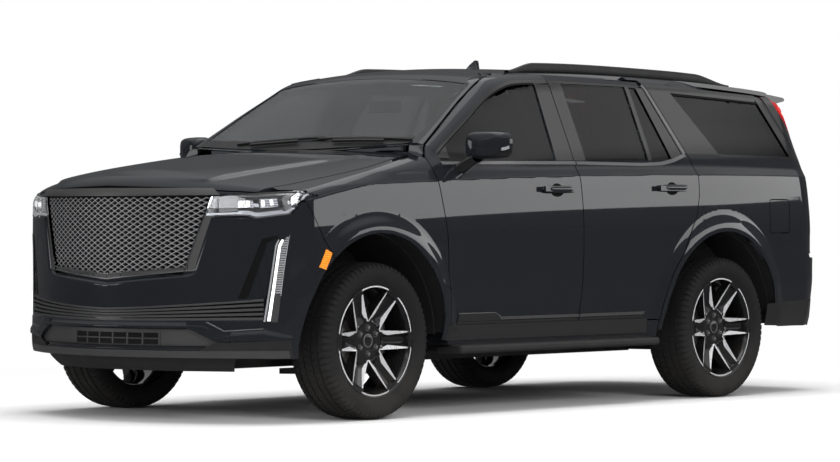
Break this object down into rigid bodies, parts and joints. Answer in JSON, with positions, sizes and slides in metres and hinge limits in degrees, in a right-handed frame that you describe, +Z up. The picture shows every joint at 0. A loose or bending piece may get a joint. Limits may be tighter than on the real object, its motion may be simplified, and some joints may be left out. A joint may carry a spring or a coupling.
{
  "type": "full-size luxury SUV",
  "caption": "Full-size luxury SUV with hinged doors, hood, tailgate and fuel door, steering front wheels and spinning wheels.",
  "frame": {"origin": "on the ground under the middle of the vehicle's box", "axes": "+X forward along the vehicle, +Y to its left, +Z up"},
  "size_m": [5.3816, 2.452, 1.9719],
  "materials": {
    "paint": "dark grey metallic, glossy",
    "tinted_glass": "dark tint",
    "screen_glass": "clear, faint tint",
    "lamp_glass": "clear lens",
    "red_lamp": "glossy red lens",
    "gloss_black": "glossy",
    "black_plastic": "grained",
    "underbody": "matte coated",
    "frame_steel": "satin",
    "cast_alloy": "cast",
    "bare_steel": "dull",
    "wheel_alloy": "gloss black with machined facets",
    "tyre": "matte",
    "soft_plastic": "soft",
    "leather": "smooth"
  },
  "bodies": {
    "root": {"front_fenders": "paint", "front_bumper": "paint", "front_lamps": "lamp_glass", "grille": "gloss_black", "lower_grille": "gloss_black", "quarter_panels": "paint", "roof_panel": "paint", "side_frames": "paint", "windscreen": "screen_glass", "quarter_windows": "tinted_glass", "rear_bumper": "paint", "tail_lamps": "red_lamp", "roof_rails": "gloss_black", "running_boards": "black_plastic", "floor_pan": "underbody", "chassis_frame": "frame_steel", "hitch_receiver": "frame_steel", "front_suspension": "frame_steel", "rear_suspension": "frame_steel", "drivetrain": "cast_alloy", "exhaust": "bare_steel", "fuel_tank": "black_plastic", "radiator": "black_plastic", "dashboard": "soft_plastic", "seats": "leather"},
    "hood_lid": {"hood": "paint"},
    "tailgate_lid": {"tailgate": "paint", "tailgate_glass": "tinted_glass"},
    "front_left_door": {"door_front_left": "paint", "glass_front_left": "tinted_glass", "mirror_left": "paint"},
    "front_right_door": {"door_front_right": "paint", "glass_front_right": "tinted_glass", "mirror_right": "paint"},
    "rear_left_door": {"door_rear_left": "paint", "glass_rear_left": "tinted_glass"},
    "rear_right_door": {"door_rear_right": "paint", "glass_rear_right": "tinted_glass"},
    "fuel_flap": {"fuel_door": "paint"},
    "left_knuckle": {"knuckle_left": "cast_alloy"},
    "right_knuckle": {"knuckle_right": "cast_alloy"},
    "front_left_wheel": {"rim_front_left": "wheel_alloy", "tyre_front_left": "tyre"},
    "front_right_wheel": {"rim_front_right": "wheel_alloy", "tyre_front_right": "tyre"},
    "rear_left_wheel": {"rim_rear_left": "wheel_alloy", "tyre_rear_left": "tyre"},
    "rear_right_wheel": {"rim_rear_right": "wheel_alloy", "tyre_rear_right": "tyre"},
    "steering": {"steering_wheel": "leather"}
  },
  "joints": [
    {"name": "steer_left", "type": "hinge", "parent": "root", "child": "left_knuckle", "pos_m": [1.676, 0.785, 0.411], "axis": [0, 0, 1], "range_deg": [-35, 35]},
    {"name": "steer_right", "type": "hinge", "parent": "root", "child": "right_knuckle", "pos_m": [1.676, -0.785, 0.411], "axis": [0, 0, 1], "range_deg": [-35, 35]},
    {"name": "steering_turn", "type": "hinge", "parent": "root", "child": "steering", "pos_m": [0.66, 0.4, 1.09], "axis": [-0.9135, 0, 0.4067], "range_deg": [-525, 525]},
    {"name": "front_left_spin", "type": "hinge", "parent": "left_knuckle", "child": "front_left_wheel", "pos_m": [1.676, 0.869, 0.411], "axis": [0, 1, 0], "continuous": true},
    {"name": "front_right_spin", "type": "hinge", "parent": "right_knuckle", "child": "front_right_wheel", "pos_m": [1.676, -0.869, 0.411], "axis": [0, 1, 0], "continuous": true},
    {"name": "rear_left_spin", "type": "hinge", "parent": "root", "child": "rear_left_wheel", "pos_m": [-1.395, 0.867, 0.411], "axis": [0, 1, 0], "continuous": true},
    {"name": "rear_right_spin", "type": "hinge", "parent": "root", "child": "rear_right_wheel", "pos_m": [-1.395, -0.867, 0.411], "axis": [0, 1, 0], "continuous": true},
    {"name": "front_left_door_hinge", "type": "hinge", "parent": "root", "child": "front_left_door", "pos_m": [1.075, 0.996, 0.9], "axis": [0, 0, -1], "range_deg": [0, 68]},
    {"name": "front_right_door_hinge", "type": "hinge", "parent": "root", "child": "front_right_door", "pos_m": [1.075, -0.996, 0.9], "axis": [0, 0, 1], "range_deg": [0, 68]},
    {"name": "rear_left_door_hinge", "type": "hinge", "parent": "root", "child": "rear_left_door", "pos_m": [-0.092, 0.996, 0.9], "axis": [0, 0, -1], "range_deg": [0, 66]},
    {"name": "rear_right_door_hinge", "type": "hinge", "parent": "root", "child": "rear_right_door", "pos_m": [-0.092, -0.996, 0.9], "axis": [0, 0, 1], "range_deg": [0, 66]},
    {"name": "hood_hinge", "type": "hinge", "parent": "root", "child": "hood_lid", "pos_m": [1.285, 0, 1.37], "axis": [0, -1, 0], "range_deg": [0, 50]},
    {"name": "tailgate_hinge", "type": "hinge", "parent": "root", "child": "tailgate_lid", "pos_m": [-2.32, 0, 1.838], "axis": [0, 1, 0], "range_deg": [0, 85]},
    {"name": "fuel_flap_hinge", "type": "hinge", "parent": "root", "child": "fuel_flap", "pos_m": [-1.89, 0.987, 1.062], "axis": [0, 0, -1], "range_deg": [0, 90]}
  ],
  "couplings": [
    {"joint": "steer_right", "follows": "steer_left", "ratio": 1},
    {"joint": "steering_turn", "follows": "steer_left", "ratio": 15}
  ]
}
